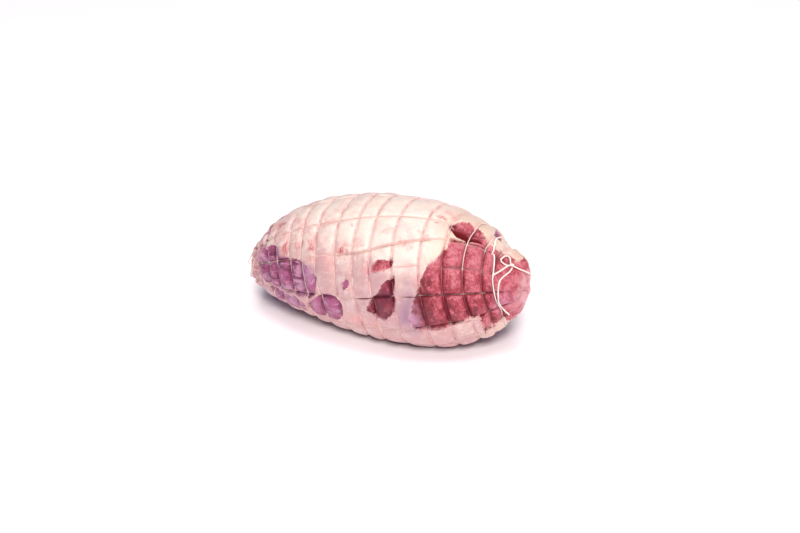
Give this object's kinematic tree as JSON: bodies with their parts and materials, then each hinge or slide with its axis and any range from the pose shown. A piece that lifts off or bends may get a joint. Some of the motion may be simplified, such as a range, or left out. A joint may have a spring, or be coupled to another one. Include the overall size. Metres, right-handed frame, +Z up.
{
  "type": "boned and rolled leg of lamb, raw, in butcher's netting",
  "caption": "Raw boneless rolled leg of lamb in elastic butcher's netting, a lemon-shaped roll with a creamy fat cover, red lean and a twine tie at its thick end.",
  "frame": {"origin": "middle of the underside, on the surface it rests on", "axes": "+X along the roll towards its thick, cut end; -Y the side that shows its lean windows; +Z up"},
  "size_m": [0.2518, 0.1336, 0.1167],
  "materials": {
    "meat": "moist raw meat: creamy pink fat cover with windows of red and purple lean",
    "netting": "elastic knitted netting, off-white, stained pink where it is sunk in",
    "twine": "twisted cotton butcher's twine, natural white"
  },
  "bodies": {
    "root": {"rolled_meat": "meat", "netting": "netting", "twine_tie": "twine", "twine_tail": "twine"}
  },
  "joints": []
}
